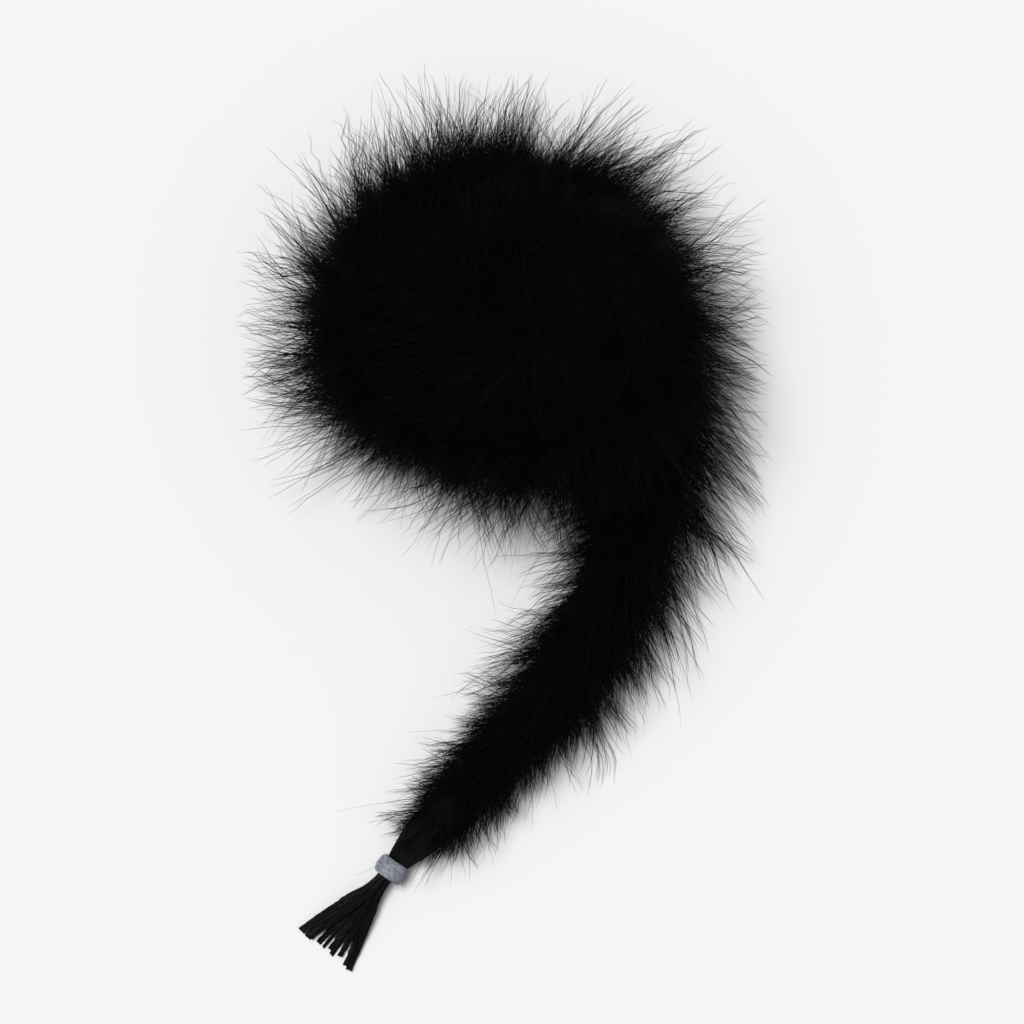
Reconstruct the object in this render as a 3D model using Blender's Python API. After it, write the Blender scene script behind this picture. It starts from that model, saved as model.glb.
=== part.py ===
"""Feather boa, coiled flat on a table with its tail laid out: core cord, down plumes, tie and tassel.

The frame has its origin under the middle of the object, at table height. +Z is up, +Y runs from the tassel
to the coil, and +X is to the right of that. All lengths are in metres.
"""

import math

import bmesh
import bpy
from mathutils import Vector

# ---- the route of the core cord -------------------------------------------------------------------
COIL_CENTRE = (-0.0043, 0.1056)
OUTER_TURN = (0.0696, 0.0540)      # half width and half height of the coil's outer turn
INNER_TURN = (0.0350, 0.0270)      # and of its inner turn
LAYER_Z = (0.0170, 0.0400, 0.0630)  # height of the core in each of the three layers
STATION = 0.0103                   # spacing of the route's stations

# the tail, from the tie back up to the coil
TAIL_POINTS = [
    (-0.0581, -0.1598, 0.0077),
    (-0.0525, -0.1532, 0.0079),
    (-0.0462, -0.1468, 0.0084),
    (-0.0385, -0.1392, 0.0091),
    (-0.0232, -0.1246, 0.0105),
    (-0.0024, -0.1018, 0.0120),
    (0.0216, -0.0778, 0.0134),
    (0.0365, -0.0538, 0.0144),
    (0.0480, -0.0298, 0.0152),
    (0.0557, -0.0058, 0.0160),
    (0.0614, 0.0182, 0.0165),
    (0.0640, 0.0422, 0.0169),
    (0.0660, 0.0662, 0.0170),
    (0.0656, 0.0880, 0.0170),
]
BASE_BEND_Y = 0.0470               # where the tail leaves the coil
TIP_BEND_Y = -0.0490               # half way down the tail
COLLAR_LENGTH = 0.0190             # gathered neck, measured from the tie

# ---- cord, plumes ---------------------------------------------------------------------------------
CORE_RADIUS = 0.0025
BORE_RADIUS = 0.0037
PLUME_GAP = 0.0005                 # half the gap between two bunches
SIDES = 10
COIL_BUNCHES = 24
BASE_BUNCHES = 2
TIP_BUNCHES = 3
LAYER_HALF = 0.0112                # half height of a bunch pressed between two layers
CROWN = 0.0215                     # how far the top layer stands above its core
RIM_REACH = 0.0600                 # how far the rim's plumes reach out from the core
INNER_REACH = 0.0280
CENTRE_SHIFT = Vector((0.00343, 0.00137, 0.0))
BASE_SWING = 28.0
TIP_SWING = 20.0

# ---- tie, collar and tassel -----------------------------------------------------------------------
TIE_OUTER = 0.0077
TIE_INNER = 0.0049
TIE_HALF_WIDTH = 0.0046
TIE_AXIS = Vector((-0.640, -0.768, 0.0)).normalized()
STRAND_TOP = -0.0118               # strands start this far inside the collar
FAN_LEFT = Vector((-0.1018, -0.1905, 0.0))
FAN_RIGHT = Vector((-0.0783, -0.2072, 0.0))

BLACK_DOWN = (0.006, 0.006, 0.007, 1.0)
BLACK_DOWN_2 = (0.010, 0.010, 0.012, 1.0)
BLACK_CORD = (0.015, 0.015, 0.016, 1.0)
BLACK_RIBBON = (0.012, 0.012, 0.013, 1.0)
YARN = (0.200, 0.215, 0.255, 1.0)

UP = Vector((0.0, 0.0, 1.0))
made = {}


def smooth(t):
    t = min(1.0, max(0.0, t))
    return t * t * (3.0 - 2.0 * t)


def ramp(value, start, end):
    return smooth((value - start) / (end - start))


def coil_point(deg):
    """A point on the coil's route; deg counts on from the right-hand side, anticlockwise."""
    wide = 1.0 - ramp(deg, 262, 345) + ramp(deg, 900, 990) - ramp(deg, 1440, 1530)
    z = LAYER_Z[0]
    z += (LAYER_Z[1] - LAYER_Z[0]) * ramp(deg, 535, 632)
    z += (LAYER_Z[2] - LAYER_Z[1]) * ramp(deg, 1168, 1262)
    z -= 0.0040 * ramp(deg, 1760, 1840)
    curl = 1.0 - 0.42 * ramp(deg, 1700, 1850)
    a = (INNER_TURN[0] + (OUTER_TURN[0] - INNER_TURN[0]) * wide) * curl
    b = (INNER_TURN[1] + (OUTER_TURN[1] - INNER_TURN[1]) * wide) * curl
    t = math.radians(deg)
    return Vector((COIL_CENTRE[0] + a * math.cos(t), COIL_CENTRE[1] + b * math.sin(t), z))


def curve_through(points, per_span):
    """A smooth curve through a list of points."""
    out = []
    for i in range(len(points) - 1):
        p0 = points[max(i - 1, 0)]
        p1 = points[i]
        p2 = points[i + 1]
        p3 = points[min(i + 2, len(points) - 1)]
        for k in range(per_span):
            t = k / per_span
            out.append(
                0.5 * (
                    2.0 * p1
                    + (p2 - p0) * t
                    + (2.0 * p0 - 5.0 * p1 + 4.0 * p2 - p3) * t * t
                    + (3.0 * p1 - p0 - 3.0 * p2 + p3) * t * t * t
                )
            )
    out.append(points[-1].copy())
    return out


def lengths(points):
    total = [0.0]
    for a, b in zip(points, points[1:]):
        total.append(total[-1] + (b - a).length)
    return total


def at(points, total, s):
    """The point a distance s along a list of points."""
    s = min(max(s, 0.0), total[-1])
    lo, hi = 0, len(total) - 1
    while hi - lo > 1:
        mid = (lo + hi) // 2
        if total[mid] <= s:
            lo = mid
        else:
            hi = mid
    f = (s - total[lo]) / max(total[hi] - total[lo], 1e-9)
    return points[lo].lerp(points[hi], f)


def evenly(points, count):
    total = lengths(points)
    return [at(points, total, total[-1] * k / count) for k in range(count + 1)]


def softened(points, passes):
    pts = [p.copy() for p in points]
    for _ in range(passes):
        new = [p.copy() for p in pts]
        for i in range(1, len(pts) - 1):
            new[i] = 0.5 * pts[i] + 0.25 * (pts[i - 1] + pts[i + 1])
        pts = new
    return pts


# ---- the whole route, tie first, then cut into its three runs ----------------------------------------
control = [Vector(p) for p in TAIL_POINTS]
control += [coil_point(d) for d in range(0, 1841, 8)]
dense = curve_through(control, 6)
dense_total = lengths(dense)
fine = softened(evenly(dense, round(dense_total[-1] / 0.0025)), 10)
fine_total = lengths(fine)


def crossing(y):
    """How far along the route the tail passes a height y on the table."""
    for i in range(len(fine) - 1):
        if fine[i].y <= y < fine[i + 1].y:
            return fine_total[i] + (y - fine[i].y) / (fine[i + 1].y - fine[i].y) * (
                fine_total[i + 1] - fine_total[i]
            )
    return 0.0


S_TIP = crossing(TIP_BEND_Y)
S_BASE = crossing(BASE_BEND_Y)
S_END = fine_total[-1]


def run(start, end, groups):
    """Stations along one run, a whole number of steps for each bunch."""
    steps = max(groups, round((end - start) / STATION / groups) * groups)
    return [at(fine, fine_total, start + (end - start) * k / steps) for k in range(steps + 1)]


tip_run = run(COLLAR_LENGTH, S_TIP, TIP_BUNCHES)
base_run = run(S_TIP, S_BASE, BASE_BUNCHES)
coil_run = run(S_BASE, S_END, COIL_BUNCHES)

# every point that a plume bunch has to share its room with
others = []
for s_index in range(int(S_END / 0.0045)):
    s_here = s_index * 0.0045
    if s_here > COLLAR_LENGTH:
        others.append((s_here, at(fine, fine_total, s_here)))


def frame_at(s):
    here = at(fine, fine_total, s)
    t = (at(fine, fine_total, s + 0.004) - at(fine, fine_total, s - 0.004)).normalized()
    side = t.cross(UP).normalized()
    return here, t, side, side.cross(t).normalized()


def tail_reach(s):
    """Half width of the tail's plumes, thin at the neck and full where it leaves the coil."""
    full = 0.0105 + 0.0090 * ramp(s, 0.018, 0.060) + 0.0075 * ramp(s, 0.045, 0.150)
    return full + 0.0050 * ramp(s, 0.150, 0.240)


def envelope(s, here, cosine, sine):
    """How far the plumes would reach with nothing beside them."""
    if s < S_BASE + 0.030:
        blend = ramp(s, S_BASE - 0.050, S_BASE + 0.030)
        side = tail_reach(s) + (RIM_REACH - 0.0035 - tail_reach(s)) * blend
        inward = tail_reach(s)
    else:
        side = RIM_REACH - 0.0035 * abs(here.z - LAYER_Z[1]) / 0.023
        inward = INNER_REACH
    a = side if cosine > 0 or s < S_BASE - 0.040 else inward
    b = 0.0180 if s > S_BASE else 0.76 * tail_reach(s)
    if here.z > LAYER_Z[2] - 0.012 and sine > 0:
        b = CROWN + 0.0015
    if sine < 0:
        b = 0.0260
    return 1.0 / math.sqrt((cosine / a) ** 2 + (sine / b) ** 2)


def room(s, here, direction, reach):
    """Half way to whatever else of the boa lies in that direction."""
    for s_other, q in others:
        if abs(s_other - s) < 0.0070:
            continue
        gap = q - here
        toward = gap.dot(direction)
        if toward > 0.0008:
            reach = min(reach, gap.length_squared / (2.0 * toward) * 0.97 - 0.0007)
    return reach


def ring(s, centre, scale, limit):
    """One cross-section of a bunch: its outside and the hole for the core."""
    here, t, side, up = frame_at(s)
    outside, hole = [], []
    for k in range(SIDES):
        angle = 2.0 * math.pi * (k + 0.5) / SIDES
        cosine, sine = math.cos(angle), math.sin(angle)
        direction = side * cosine + up * sine
        reach = envelope(s, here, cosine, sine)
        ripple = 1.0 - 0.035 * (1.0 + math.sin(s * 610.0 + k * 2.3))
        reach = room(s, here, direction, reach * ripple)
        reach = min(max(reach * scale, BORE_RADIUS + 0.0012), limit)
        p = centre + direction * reach
        floor = max(0.0, here.z - LAYER_HALF) if here.z > LAYER_Z[0] + 0.002 else 0.0
        roof = here.z + LAYER_HALF
        if here.z > LAYER_Z[2] - 0.012:
            free = ramp(here.z, LAYER_Z[2] - 0.010, LAYER_Z[2] - 0.001)
            roof += (CROWN - LAYER_HALF) * (free if s < S_END - 0.08 else 1.0)
        if s < S_BASE + 0.020:
            roof = here.z + 0.0108 + 0.0130 * (1.0 - ramp(s, S_BASE - 0.072, S_BASE - 0.034))
        p.z = min(max(p.z, floor), roof)
        outside.append(p)
        hole.append(centre + (side * cosine + up * sine) * BORE_RADIUS)
    return outside, hole


def solid(name, rings, colour):
    """A closed sleeve from a list of (outside, hole) rings."""
    n = len(rings[0][0])
    verts, faces = [], []
    for outside, hole in rings:
        verts += outside + hole
    for r in range(len(rings) - 1):
        a, b = r * 2 * n, (r + 1) * 2 * n
        for k in range(n):
            m = (k + 1) % n
            faces.append((a + k, a + m, b + m, b + k))
            faces.append((a + n + m, a + n + k, b + n + k, b + n + m))
    last = (len(rings) - 1) * 2 * n
    for k in range(n):
        m = (k + 1) % n
        faces.append((k, n + k, n + m, m))
        faces.append((last + m, last + n + m, last + n + k, last + k))
    return finish(name, verts, faces, colour)


def material(name, colour):
    found = bpy.data.materials.new(name)
    found.use_nodes = True
    shader = found.node_tree.nodes["Principled BSDF"]
    shader.inputs["Base Color"].default_value = colour
    shader.inputs["Roughness"].default_value = 0.9
    return found


def finish(name, verts, faces, colour):
    mesh = bpy.data.meshes.new(name)
    mesh.from_pydata([v + CENTRE_SHIFT for v in verts], [], faces)
    tidy = bmesh.new()
    tidy.from_mesh(mesh)
    bmesh.ops.recalc_face_normals(tidy, faces=tidy.faces)
    tidy.to_mesh(mesh)
    tidy.free()
    obj = bpy.data.objects.new(name, mesh)
    bpy.context.scene.collection.objects.link(obj)
    mesh.materials.append(material(name, colour))
    made[name] = obj
    return obj


def cord(name, points, radius, colour):
    """A round cord as a curve object with closed ends."""
    curve = bpy.data.curves.new(name, "CURVE")
    curve.dimensions = "3D"
    curve.bevel_depth = radius
    curve.bevel_resolution = 2
    curve.use_fill_caps = True
    spline = curve.splines.new("POLY")
    spline.points.add(len(points) - 1)
    for point, p in zip(spline.points, points):
        point.co = (*(p + CENTRE_SHIFT), 1.0)
    obj = bpy.data.objects.new(name, curve)
    bpy.context.scene.collection.objects.link(obj)
    curve.materials.append(material(name, colour))
    made[name] = obj
    return obj


def bunch(name, stations, arcs, first, last, start_cone, end_cone, colour):
    """One bunch of plumes over stations first to last. A cone, in degrees, leaves room to bend."""
    rings = []
    wanted = []
    s0, s1 = arcs[first], arcs[last]
    if start_cone:
        for off in (0.0024, 0.0056, 0.0100):
            wanted.append((s0 + off, (off - 0.0009) / math.tan(math.radians(start_cone))))
    else:
        wanted.append((s0 + PLUME_GAP, 1.0))
    for i in range(first + 1, last):
        if start_cone and arcs[i] < s0 + 0.0140:
            continue
        if end_cone and arcs[i] > s1 - 0.0140:
            continue
        wanted.append((arcs[i], 1.0))
    if end_cone:
        for off in (0.0100, 0.0056, 0.0024):
            wanted.append((s1 - off, (off - 0.0009) / math.tan(math.radians(end_cone))))
    else:
        wanted.append((s1 - PLUME_GAP, 1.0))
    for i, (s, limit) in enumerate(wanted):
        centre = on_run(stations, arcs, s)
        scale = 0.93 if i in (0, len(wanted) - 1) else 1.0
        rings.append(ring(s, centre, scale, limit))
    return solid(name, rings, colour)


def on_run(stations, arcs, s):
    """A point on the straight pieces between stations, which is where the core runs."""
    for i in range(len(arcs) - 1):
        if arcs[i] <= s <= arcs[i + 1] + 1e-9:
            return stations[i].lerp(stations[i + 1], (s - arcs[i]) / (arcs[i + 1] - arcs[i]))
    return stations[-1].copy()


def arcs_of(start, end, stations):
    return [start + (end - start) * k / (len(stations) - 1) for k in range(len(stations))]


# ---- start from an empty scene ---------------------------------------------------------------------
for old in list(bpy.data.objects):
    bpy.data.objects.remove(old, do_unlink=True)

# ---- plumes ------------------------------------------------------------------------------------------
coil_arcs = arcs_of(S_BASE, S_END, coil_run)
per = (len(coil_run) - 1) // COIL_BUNCHES
for number in range(COIL_BUNCHES):
    shade = BLACK_DOWN if number % 2 == 0 else BLACK_DOWN_2
    cone = BASE_SWING / 2 + 1.5 if number == 0 else 0.0
    bunch(f"coil_plumes_{number + 1:02d}", coil_run, coil_arcs, number * per,
          (number + 1) * per, cone, 0.0, shade)

base_arcs = arcs_of(S_TIP, S_BASE, base_run)
per = (len(base_run) - 1) // BASE_BUNCHES
for number in range(BASE_BUNCHES):
    shade = BLACK_DOWN if number % 2 == 0 else BLACK_DOWN_2
    low = TIP_SWING / 2 + 1.5 if number == 0 else 0.0
    high = BASE_SWING / 2 + 1.5 if number == BASE_BUNCHES - 1 else 0.0
    bunch(f"tail_plumes_{BASE_BUNCHES - number:02d}", base_run, base_arcs, number * per,
          (number + 1) * per, low, high, shade)

tip_arcs = arcs_of(COLLAR_LENGTH, S_TIP, tip_run)
per = (len(tip_run) - 1) // TIP_BUNCHES
for number in range(TIP_BUNCHES):
    shade = BLACK_DOWN if number % 2 == 0 else BLACK_DOWN_2
    high = TIP_SWING / 2 + 1.5 if number == TIP_BUNCHES - 1 else 0.0
    bunch(f"tail_plumes_{BASE_BUNCHES + TIP_BUNCHES - number:02d}", tip_run, tip_arcs,
          number * per, (number + 1) * per, 0.0, high, shade)


# ---- core cord, one run to each part that can move ----------------------------------------------------
def shortened(points, start, end):
    total = lengths(points)
    inner = [p for p, s in zip(points, total) if start + 0.002 < s < total[-1] - end - 0.002]
    return [at(points, total, start)] + inner + [at(points, total, total[-1] - end)]


cord("core_cord_coil", shortened(coil_run, 0.0010, 0.0020), CORE_RADIUS, BLACK_CORD)
cord("core_cord_tail_base", shortened(base_run, 0.0010, 0.0010), CORE_RADIUS, BLACK_CORD)
tip_core = [at(fine, fine_total, 0.0150)] + tip_run
cord("core_cord_tail_tip", shortened(tip_core, 0.0, 0.0010), CORE_RADIUS, BLACK_CORD)


# ---- rings and sleeves round a straight axis ----------------------------------------------------------
def turned(name, centre, axis, profile_out, profile_in, count, colour):
    """A sleeve: each profile is a list of (distance along the axis, radius)."""
    e1 = axis.cross(UP).normalized()
    e2 = e1.cross(axis).normalized()
    rings = []
    for (a, r_out), (_, r_in) in zip(profile_out, profile_in):
        outside, hole = [], []
        for k in range(count):
            angle = 2.0 * math.pi * k / count
            d = e1 * math.cos(angle) + e2 * math.sin(angle)
            outside.append(centre + axis * a + d * r_out)
            hole.append(centre + axis * a + d * r_in)
        rings.append((outside, hole))
    return solid(name, rings, colour)


tie_centre = fine[0].copy()
tie_out, tie_in = [], []
for k in range(9):
    angle = math.pi * (k / 8.0)
    along = -TIE_HALF_WIDTH * math.cos(angle)
    swell = math.sin(angle) ** 0.7 if 0 < k < 8 else 0.0
    tie_out.append((along, TIE_INNER + 0.0012 + (TIE_OUTER - TIE_INNER - 0.0012) * swell))
    tie_in.append((along, TIE_INNER + 0.0003 * (1.0 - swell)))
turned("elastic_tie", tie_centre, TIE_AXIS, tie_out, tie_in, 24, YARN)

# the collar follows the route from the last plumes down to the tie
collar_rings = []
for s in (0.0055, 0.0085, 0.0120, 0.0155, COLLAR_LENGTH - 0.0004):
    f = smooth((s - 0.0045) / 0.0165)
    centre = at(fine, fine_total, s)
    axis = frame_at(s)[1]
    if s < 0.0060:
        centre = tie_centre - TIE_AXIS * s
    e1 = axis.cross(UP).normalized()
    e2 = e1.cross(axis).normalized()
    outside, hole = [], []
    for k in range(16):
        angle = 2.0 * math.pi * (k + 0.5) / 16
        d = e1 * math.cos(angle) + e2 * math.sin(angle)
        flute = 1.0 - 0.03 * (k % 2)
        p = centre + d * (0.0056 + 0.0042 * f) * flute
        p.z = max(p.z, 0.0003)
        outside.append(p)
        hole.append(centre + d * 0.0049)
    collar_rings.append((outside, hole))
solid("plume_collar", collar_rings, BLACK_DOWN_2)


# ---- the tassel's flat strands --------------------------------------------------------------------------
across_tie = TIE_AXIS.cross(UP).normalized()
FAN = (
    # place in the fan, place in the tie (angle in degrees, distance from the axis), height at the end
    (4.5, 22.5, 0.0033, 0.0017),
    (3.5, -22.5, 0.0033, 0.0009),
    (2.5, 67.5, 0.0033, 0.0019),
    (1.5, -67.5, 0.0033, 0.0008),
    (0.5, 0.0, 0.0010, 0.0012),
    (-0.5, 180.0, 0.0010, 0.0012),
    (-1.5, 247.5, 0.0033, 0.0008),
    (-2.5, 112.5, 0.0033, 0.0019),
    (-3.5, 202.5, 0.0033, 0.0009),
    (-4.5, 157.5, 0.0033, 0.0017),
)


def strand(name, place, angle, distance, end_z):
    inner = distance < 0.002
    lateral = distance * math.cos(math.radians(angle))
    lift = distance * math.sin(math.radians(angle))
    f = (place + 4.5) / 9.0
    tip = FAN_RIGHT.lerp(FAN_LEFT, f)
    tip += (tip - Vector((tie_centre.x, tie_centre.y, 0.0))).normalized() * (
        0.0012 * math.sin(place * 2.7)
    )
    tip.z = end_z
    start = tie_centre + across_tie * lateral + UP * lift
    leave = start + TIE_AXIS * 0.0062
    rings = []
    roll0 = math.radians(angle) if not inner else 0.0
    for k in range(11):
        if k < 3:
            p = start + TIE_AXIS * (STRAND_TOP + (0.0062 - STRAND_TOP) * k / 2.0)
            t = TIE_AXIS
            u = 0.0
        else:
            u = (k - 2) / 8.0
            reach = (tip - leave).length
            a = leave + TIE_AXIS * reach * 0.30
            back = (tip - leave).normalized()
            back.z = -0.02
            b = tip - back * reach * 0.35
            b.z = tip.z
            p = (leave * (1 - u) ** 3 + a * 3 * u * (1 - u) ** 2
                 + b * 3 * u * u * (1 - u) + tip * u ** 3)
            d = ((a - leave) * 3 * (1 - u) ** 2 + (b - a) * 6 * u * (1 - u)
                 + (tip - b) * 3 * u * u)
            t = d.normalized()
        flat = smooth(u * 1.6)
        side = t.cross(UP).normalized()
        up = side.cross(t).normalized()
        turn = roll0 * (1.0 - flat)
        if not inner:
            turn = (roll0 - math.pi / 2.0) * (1.0 - flat)
            if abs(turn) > math.pi / 2.0 + 0.01:
                turn -= math.pi * (1.0 - flat) * (1 if turn > 0 else -1)
        wide = side * math.cos(turn) + up * math.sin(turn)
        thick = up * math.cos(turn) - side * math.sin(turn)
        width = (0.0020 if not inner else 0.0015) * (1.0 - flat) + 0.0025 * flat
        depth = (0.0017 if not inner else 0.0016) * (1.0 - flat) + 0.0006 * flat
        corner = []
        for x, y in ((1, 0.55), (0.7, 1), (-0.7, 1), (-1, 0.55), (-1, -0.55), (-0.7, -1),
                     (0.7, -1), (1, -0.55)):
            corner.append(p + wide * (x * width / 2.0) + thick * (y * depth / 2.0))
        rings.append(corner)
    n = 8
    verts = [v for r in rings for v in r]
    faces = []
    for r in range(len(rings) - 1):
        for k in range(n):
            m = (k + 1) % n
            faces.append((r * n + k, r * n + m, (r + 1) * n + m, (r + 1) * n + k))
    faces.append(tuple(range(n - 1, -1, -1)))
    faces.append(tuple((len(rings) - 1) * n + k for k in range(n)))
    finish(name, verts, faces, BLACK_RIBBON)


for number, (place, angle, distance, end_z) in enumerate(FAN):
    strand(f"tassel_strand_{number + 1:02d}", place, angle, distance, end_z)


# ---- thread whippings on the two ends of the core -------------------------------------------------------
def whipping(name, stations, s, near, far):
    axis = (stations[near] - stations[far]).normalized()
    here = stations[near] - axis * s
    out = [(-0.0016, 0.00300), (-0.0012, 0.00325), (0.0012, 0.00325), (0.0016, 0.00300)]
    hole = [(a, 0.00275) for a, _ in out]
    turned(name, here, axis, out, hole, 12, BLACK_CORD)


whipping("inner_end_whipping", coil_run, 0.0048, -1, -2)
whipping("tail_whipping", tip_core, 0.0021, 0, 1)
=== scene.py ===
"""Looks for the coiled feather boa: core cord, down fibres, gathered neck, wound tie and tassel."""

import math

import bpy
import numpy as np
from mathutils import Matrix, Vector


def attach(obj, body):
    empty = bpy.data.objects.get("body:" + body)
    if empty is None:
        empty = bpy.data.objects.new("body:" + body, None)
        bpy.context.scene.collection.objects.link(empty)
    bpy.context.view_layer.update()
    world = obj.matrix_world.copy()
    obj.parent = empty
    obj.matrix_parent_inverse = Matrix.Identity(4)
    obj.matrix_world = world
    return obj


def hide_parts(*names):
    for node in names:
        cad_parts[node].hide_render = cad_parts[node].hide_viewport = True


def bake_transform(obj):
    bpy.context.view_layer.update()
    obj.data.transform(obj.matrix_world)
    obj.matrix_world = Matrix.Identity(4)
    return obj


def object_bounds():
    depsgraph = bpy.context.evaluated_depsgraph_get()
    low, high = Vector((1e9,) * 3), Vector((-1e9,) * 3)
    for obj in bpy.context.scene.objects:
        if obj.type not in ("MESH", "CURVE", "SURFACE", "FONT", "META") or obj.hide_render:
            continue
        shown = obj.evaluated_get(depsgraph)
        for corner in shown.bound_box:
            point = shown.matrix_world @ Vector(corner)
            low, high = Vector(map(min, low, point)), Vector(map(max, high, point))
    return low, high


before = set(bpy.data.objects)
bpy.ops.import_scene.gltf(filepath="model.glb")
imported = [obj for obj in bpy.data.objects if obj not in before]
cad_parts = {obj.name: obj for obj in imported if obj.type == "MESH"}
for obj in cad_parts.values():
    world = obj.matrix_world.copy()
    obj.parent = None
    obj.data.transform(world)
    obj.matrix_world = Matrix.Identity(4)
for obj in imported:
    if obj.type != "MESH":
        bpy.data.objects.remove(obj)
cad_low, cad_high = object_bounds()
rng = np.random.default_rng(541)
RAD = math.radians

# ---- camera, straight above ----
CENTRE_SHIFT = Vector((0.00343, 0.00137, 0.0))
FIELD = 0.4915
FIELD_Y = 0.01248
HEIGHT = 2.60
FOCUS_Z = 0.020
SENSOR = 36.0
camera_data = bpy.data.cameras.new("camera")
camera_data.sensor_width = SENSOR
camera_data.lens = SENSOR * (HEIGHT - FOCUS_Z) / FIELD
camera_data.clip_start = 0.05
camera_data.clip_end = 40.0
camera = bpy.data.objects.new("camera", camera_data)
camera.location = (CENTRE_SHIFT.x, CENTRE_SHIFT.y + FIELD_Y, HEIGHT)
bpy.context.scene.collection.objects.link(camera)
bpy.context.scene.camera = camera

# ---- the route of the core, as in the CAD model ----
COIL_CENTRE = (-0.0043, 0.1056)
OUTER_TURN = (0.0696, 0.0540)
INNER_TURN = (0.0350, 0.0270)
LAYER_Z = (0.0170, 0.0400, 0.0630)
TAIL_POINTS = [
    (-0.0581, -0.1598, 0.0077),
    (-0.0525, -0.1532, 0.0079),
    (-0.0462, -0.1468, 0.0084),
    (-0.0385, -0.1392, 0.0091),
    (-0.0232, -0.1246, 0.0105),
    (-0.0024, -0.1018, 0.0120),
    (0.0216, -0.0778, 0.0134),
    (0.0365, -0.0538, 0.0144),
    (0.0480, -0.0298, 0.0152),
    (0.0557, -0.0058, 0.0160),
    (0.0614, 0.0182, 0.0165),
    (0.0640, 0.0422, 0.0169),
    (0.0660, 0.0662, 0.0170),
    (0.0656, 0.0880, 0.0170),
]
BASE_BEND_Y = 0.0470
TIP_BEND_Y = -0.0490
CORE_RADIUS = 0.0025
CORE_TWIST = 0.014
CORE_GAP = 0.0012
CORE_STEP = 0.0016
CORE_SIDES = 18
PATH_POINTS = 300
COIL_BUNCHES = 24
ROUTE_STEP = 0.0025
ROUTE_PASSES = 10
TIE_AXIS = Vector((-0.640, -0.768, 0.0)).normalized()
UP = Vector((0.0, 0.0, 1.0))


def smooth(t):
    t = np.clip(t, 0.0, 1.0)
    return t * t * (3.0 - 2.0 * t)


def ramp(value, start, end):
    return smooth((value - start) / (end - start))


def coil_point(deg):
    """The coil after so many degrees: outer and inner turns in three layers, to an end in the middle."""
    wide = 1.0 - ramp(deg, 262, 345) + ramp(deg, 900, 990) - ramp(deg, 1440, 1530)
    z = LAYER_Z[0]
    z += (LAYER_Z[1] - LAYER_Z[0]) * ramp(deg, 535, 632)
    z += (LAYER_Z[2] - LAYER_Z[1]) * ramp(deg, 1168, 1262)
    z -= 0.0040 * ramp(deg, 1760, 1840)
    curl = 1.0 - 0.42 * ramp(deg, 1700, 1850)
    a = (INNER_TURN[0] + (OUTER_TURN[0] - INNER_TURN[0]) * wide) * curl
    b = (INNER_TURN[1] + (OUTER_TURN[1] - INNER_TURN[1]) * wide) * curl
    t = math.radians(deg)
    return Vector((COIL_CENTRE[0] + a * math.cos(t), COIL_CENTRE[1] + b * math.sin(t), z))


def curve_through(points, per_span):
    out = []
    ends = [points[0]] + points + [points[-1]]
    for p0, p1, p2, p3 in zip(ends, ends[1:], ends[2:], ends[3:]):
        for k in range(per_span):
            t = k / per_span
            out.append(0.5 * (
                2.0 * p1
                + (p2 - p0) * t
                + (2.0 * p0 - 5.0 * p1 + 4.0 * p2 - p3) * t * t
                + (3.0 * p1 - p0 - 3.0 * p2 + p3) * t * t * t
            ))
    out.append(points[-1].copy())
    return out


def along(points):
    steps = np.linalg.norm(np.diff(points, axis=0), axis=1)
    return np.concatenate([[0.0], np.cumsum(steps)])


def evenly(points, count):
    total = along(points)
    s = np.linspace(0.0, total[-1], count)
    return np.stack([np.interp(s, total, points[:, k]) for k in range(3)], axis=1)


control = [Vector(p) for p in TAIL_POINTS] + [coil_point(d) for d in range(0, 1841, 8)]
dense = np.array([list(p) for p in curve_through(control, 6)])
fine = evenly(dense, round(along(dense)[-1] / ROUTE_STEP) + 1)
for _ in range(ROUTE_PASSES):
    fine[1:-1] = 0.5 * fine[1:-1] + 0.25 * (fine[:-2] + fine[2:])
fine_s = along(fine)
fine = fine + np.array(CENTRE_SHIFT)


def crossing(y):
    """The distance along the route where the tail, on its way up, first passes y."""
    i = np.flatnonzero((fine[:-1, 1] <= y) & (y < fine[1:, 1]))[0]
    f = (y - fine[i, 1]) / (fine[i + 1, 1] - fine[i, 1])
    return fine_s[i] + f * (fine_s[i + 1] - fine_s[i])


S_TIP = crossing(TIP_BEND_Y + CENTRE_SHIFT.y)
S_BASE = crossing(BASE_BEND_Y + CENTRE_SHIFT.y)
S_END = fine_s[-1]


def place(s):
    """Points on the route, carried on straight past its two ends."""
    s = np.atleast_1d(np.asarray(s, float))
    p = np.stack([np.interp(s, fine_s, fine[:, k]) for k in range(3)], axis=1)
    first = (fine[1] - fine[0]) / np.linalg.norm(fine[1] - fine[0])
    last = (fine[-1] - fine[-2]) / np.linalg.norm(fine[-1] - fine[-2])
    p += np.minimum(s, 0.0)[:, None] * first + np.maximum(s - S_END, 0.0)[:, None] * last
    return p


def unit(v):
    return v / np.maximum(np.linalg.norm(v, axis=-1, keepdims=True), 1e-12)


def frames(s):
    """Point, direction, outward side and upward vector at each distance along the route."""
    p = place(s)
    t = unit(place(np.asarray(s) + 0.004) - place(np.asarray(s) - 0.004))
    side = unit(np.cross(t, [0.0, 0.0, 1.0]))
    up = unit(np.cross(side, t))
    return p, t, side, up


def round_angles(count):
    return np.linspace(0, 2 * math.pi, count, endpoint=False)


def oval(ang, a, b):
    """Radius at each angle of an oval with half-widths a (sideways) and b (up)."""
    return 1.0 / np.sqrt((np.cos(ang) / a) ** 2 + (np.sin(ang) / b) ** 2)


def rings_round(p, side, up, ang, r):
    return p[:, None] + r[..., None] * (
        np.cos(ang)[None, :, None] * side[:, None] + np.sin(ang)[None, :, None] * up[:, None]
    )


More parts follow.
